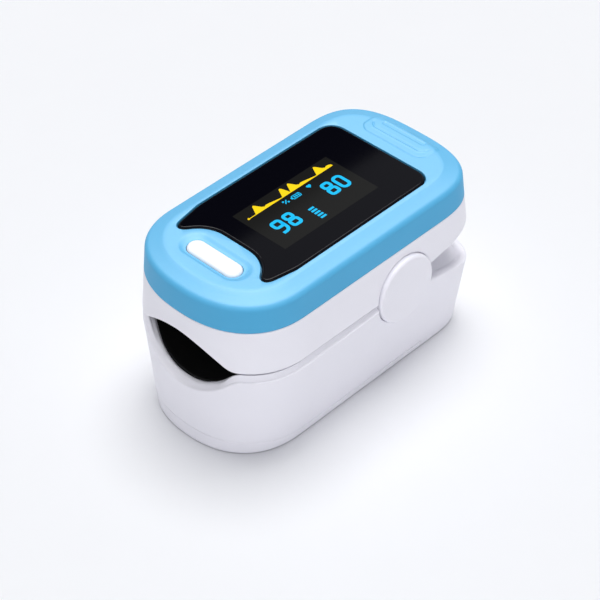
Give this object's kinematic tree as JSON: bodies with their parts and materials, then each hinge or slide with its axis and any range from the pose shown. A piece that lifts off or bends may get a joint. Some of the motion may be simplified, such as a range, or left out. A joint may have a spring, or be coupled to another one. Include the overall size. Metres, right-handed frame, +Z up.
{
  "type": "fingertip pulse oximeter",
  "caption": "Spring-clip fingertip pulse oximeter: hinged white halves with silicone finger pads, blue top cover, black display window, press button and sliding battery door.",
  "frame": {"origin": "middle of the bottom face", "axes": "+Z up out of the display, +Y from the finger opening to the squeeze grip, +X to the right seen from the finger opening"},
  "size_m": [0.034, 0.0597, 0.034],
  "materials": {
    "white_case": "satin moulded",
    "blue_cover": "satin moulded",
    "white_button": "satin moulded",
    "black_window": "polished",
    "screen_glass": "polished",
    "black_silicone": "matte",
    "black_frame": "moulded",
    "black_plastic": "moulded",
    "nickel": "plated",
    "board": "solder mask",
    "clear_optic": "clear moulded",
    "cable_film": "film",
    "spring_steel": "drawn",
    "cell_jacket": "printed jacket, left bare"
  },
  "bodies": {
    "lower_half": {"lower_shell": "white_case", "lower_cradle": "black_frame", "lower_finger_pad": "black_silicone", "sensor_board": "board", "photodiode": "clear_optic", "sensor_cable": "cable_film", "battery_cell_left": "cell_jacket", "battery_cell_right": "cell_jacket", "front_contact_bridge": "nickel", "rear_contact_left": "nickel", "rear_contact_right": "nickel", "battery_spring_left": "spring_steel", "battery_spring_right": "spring_steel", "cradle_screw_left": "nickel", "cradle_screw_right": "nickel", "hinge_cap_left": "white_case", "hinge_cap_right": "white_case", "hinge_pin_left": "spring_steel", "hinge_pin_right": "spring_steel", "torsion_spring_left": "spring_steel", "torsion_spring_right": "spring_steel"},
    "upper_half": {"upper_shell": "white_case", "upper_cradle": "black_frame", "upper_finger_pad": "black_silicone", "top_cover": "blue_cover", "display_window": "black_window", "display_panel": "screen_glass", "display_holder": "black_plastic", "main_board": "board", "controller_chip": "black_plastic", "power_switch": "nickel", "emitter_board": "board", "emitter_led": "clear_optic", "board_screw_left": "nickel", "board_screw_right": "nickel", "case_screw_left": "nickel", "case_screw_right": "nickel"},
    "power_button": {"power_button": "white_button", "switch_plunger": "black_plastic"},
    "battery_door": {"battery_door": "white_case"}
  },
  "joints": [
    {"name": "clip_hinge", "type": "hinge", "parent": "lower_half", "child": "upper_half", "pos_m": [0, 0.0077, 0.0192], "axis": [-1, 0, 0], "range_deg": [0, 15], "stiffness_Nm_per_rad": 0.08, "springref_deg": -14.9, "deforming": ["torsion_spring_left", "torsion_spring_right", "sensor_cable"]},
    {"name": "button_press", "type": "slide", "parent": "upper_half", "child": "power_button", "axis": [0, 0, -1], "range_m": [0, 0.0004], "stiffness_N_per_m": 800},
    {"name": "door_slide", "type": "slide", "parent": "lower_half", "child": "battery_door", "axis": [0, -1, 0], "range_m": [0, 0.048]}
  ]
}
